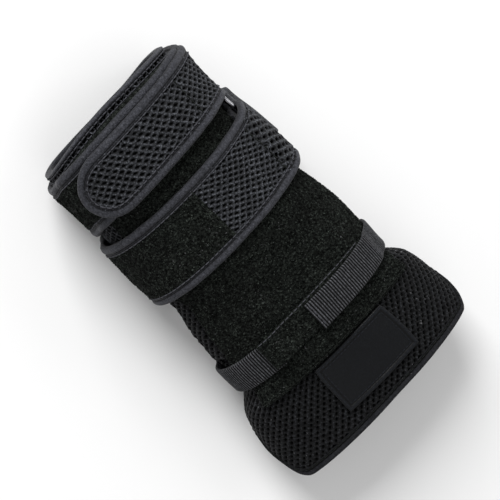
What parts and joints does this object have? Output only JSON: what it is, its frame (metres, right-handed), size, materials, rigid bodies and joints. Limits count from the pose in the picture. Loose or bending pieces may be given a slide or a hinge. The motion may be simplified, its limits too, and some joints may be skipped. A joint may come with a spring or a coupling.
{
  "type": "bowling glove",
  "caption": "Open padded-mesh bowling glove for the right hand: wrist cuff, hand band, hook-and-loop straps with a wire ring, palm webbing and a blank back patch.",
  "frame": {"origin": "middle of the glove's bounding box, on the surface that the palm side rests on", "axes": "+X from the cuff end to the knuckle end, +Y to the ring side (the thumb side of a right hand), +Z out of the back of the glove"},
  "size_m": [0.188, 0.1114, 0.0642],
  "materials": {
    "padded_mesh": "padded spacer mesh, matt",
    "edge_tape": "smooth folded edge tape, satin",
    "loop_fabric": "brushed loop fabric, matt",
    "ribbed_webbing": "ribbed woven webbing",
    "ring_wire": "gloss black wire",
    "patch": "satin woven patch, blank"
  },
  "bodies": {
    "root": {"cuff": "padded_mesh", "cuff_binding": "edge_tape", "hand_band": "padded_mesh", "knuckle_binding": "edge_tape", "back_pad": "padded_mesh", "back_panel": "loop_fabric", "label_patch": "patch", "base_strap": "loop_fabric", "base_strap_rim_binding": "edge_tape", "base_strap_hand_binding": "edge_tape", "strap_1": "padded_mesh", "strap_1_binding": "edge_tape", "ring": "ring_wire", "ring_tab": "loop_fabric", "strap_2": "padded_mesh", "strap_2_tail": "loop_fabric", "strap_2_rim_binding": "edge_tape", "strap_2_hand_binding": "edge_tape", "webbing": "ribbed_webbing", "webbing_bridge": "loop_fabric"}
  },
  "joints": []
}
